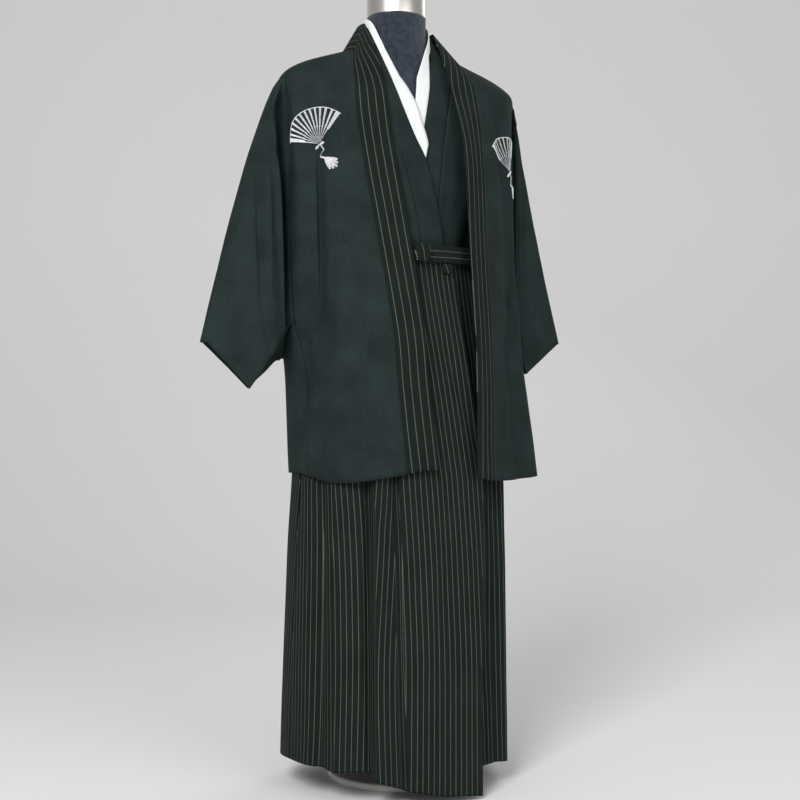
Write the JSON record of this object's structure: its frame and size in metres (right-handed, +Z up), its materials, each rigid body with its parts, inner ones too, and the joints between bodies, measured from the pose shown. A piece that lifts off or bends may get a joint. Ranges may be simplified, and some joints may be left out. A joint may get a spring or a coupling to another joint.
{
  "type": "yukata style kimono, haori and hakama outfit on dress form",
  "caption": "Men's dark cotton kimono, open haori jacket with embroidered folding fans and pin-striped pleated hakama, worn by a limbless dress form on a stand",
  "frame": {"origin": "middle of the stand base's underside", "axes": "+Z up, the garment's front faces -Y, the wearer's right is -X"},
  "size_m": [0.7922, 0.3912, 1.512],
  "materials": {
    "plain_cotton": "dark slate green plain woven cotton",
    "striped_cotton": "near black cotton with fine dotted grey green stripes",
    "white_cotton": "white cotton",
    "jersey": "dark navy knitted jersey",
    "steel": "satin steel",
    "painted_metal": "off white powder coat"
  },
  "bodies": {
    "root": {"dress_form": "jersey", "neck_cap": "steel", "stand_pole": "painted_metal", "stand_base": "painted_metal", "haori_body_right": "plain_cotton", "haori_body_left": "plain_cotton", "haori_gusset_right": "plain_cotton", "haori_gusset_left": "plain_cotton", "haori_sleeve_right": "plain_cotton", "haori_sleeve_left": "plain_cotton", "haori_collar": "striped_cotton", "kimono_body_right": "plain_cotton", "kimono_body_left": "plain_cotton", "kimono_collar": "plain_cotton", "white_collar": "white_cotton", "hakama_front": "striped_cotton", "hakama_back": "striped_cotton", "waist_tie": "striped_cotton", "tie_knot": "striped_cotton", "tie_tail": "striped_cotton"}
  },
  "joints": []
}
